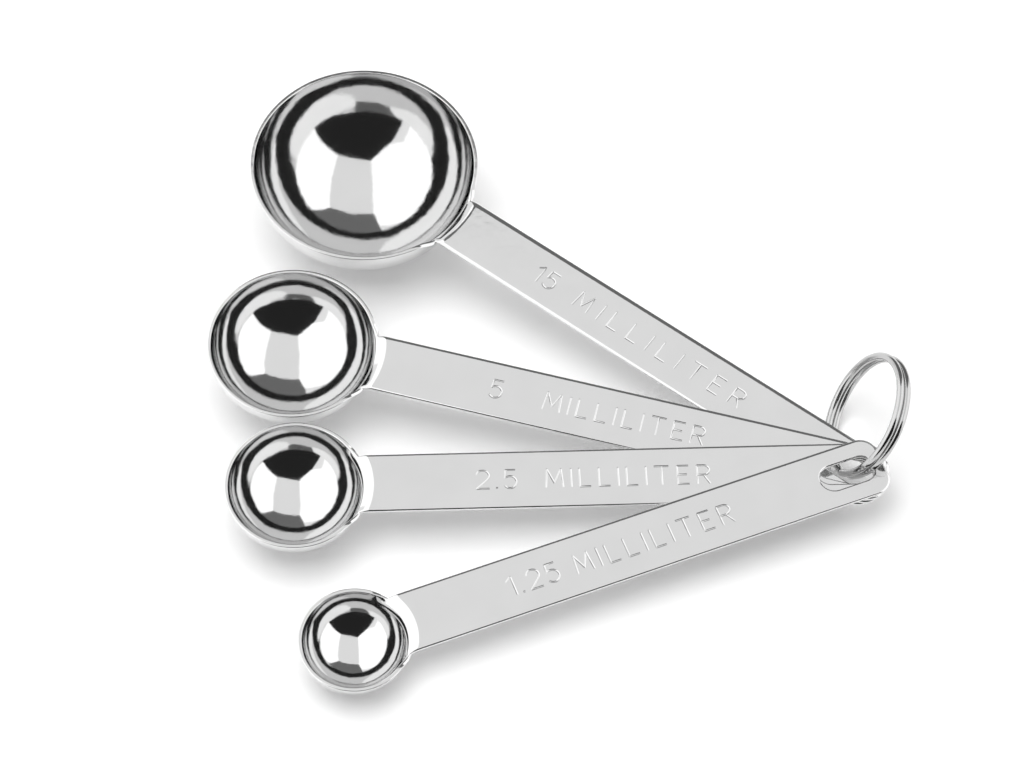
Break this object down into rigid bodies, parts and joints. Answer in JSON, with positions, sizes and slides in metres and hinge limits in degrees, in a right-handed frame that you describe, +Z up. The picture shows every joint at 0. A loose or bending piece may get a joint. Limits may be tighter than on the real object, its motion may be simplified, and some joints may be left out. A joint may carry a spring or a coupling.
{
  "type": "measuring spoon set",
  "caption": "Round-bowl measuring spoons pressed from steel sheet, graded in size, with flat slotted handles fanned out on a split wire ring.",
  "frame": {"origin": "centre of the set's bounding box at table level", "axes": "+Z up, +X to the right towards the ring, +Y away from the viewer; the handles lie in one plane that rises slightly to the left and away"},
  "size_m": [0.1268, 0.1316, 0.021],
  "materials": {
    "spoon_steel": "polished bowls, satin handles",
    "ring_steel": "bright plated wire"
  },
  "bodies": {
    "tablespoon_body": {"tablespoon": "spoon_steel"},
    "teaspoon_body": {"teaspoon": "spoon_steel"},
    "half_teaspoon_body": {"half_teaspoon": "spoon_steel"},
    "quarter_teaspoon_body": {"quarter_teaspoon": "spoon_steel"},
    "ring_body": {"split_ring": "ring_steel"}
  },
  "joints": [
    {"name": "teaspoon_swing", "type": "hinge", "parent": "tablespoon_body", "child": "teaspoon_body", "pos_m": [0.05492, -0.02129, 0.00744], "axis": [0.0314, -0.1216, 0.9921], "range_deg": [-2, 60]},
    {"name": "half_teaspoon_swing", "type": "hinge", "parent": "teaspoon_body", "child": "half_teaspoon_body", "pos_m": [0.05492, -0.02129, 0.00744], "axis": [0.0314, -0.1216, 0.9921], "range_deg": [-0.5, 60]},
    {"name": "quarter_teaspoon_swing", "type": "hinge", "parent": "half_teaspoon_body", "child": "quarter_teaspoon_body", "pos_m": [0.05492, -0.02129, 0.00744], "axis": [0.0314, -0.1216, 0.9921], "range_deg": [-5, 60]},
    {"name": "ring_turn", "type": "hinge", "parent": "tablespoon_body", "child": "ring_body", "pos_m": [0.0565, -0.0105, 0.0104], "axis": [0.855, -0.0199, -0.5182], "continuous": true}
  ]
}
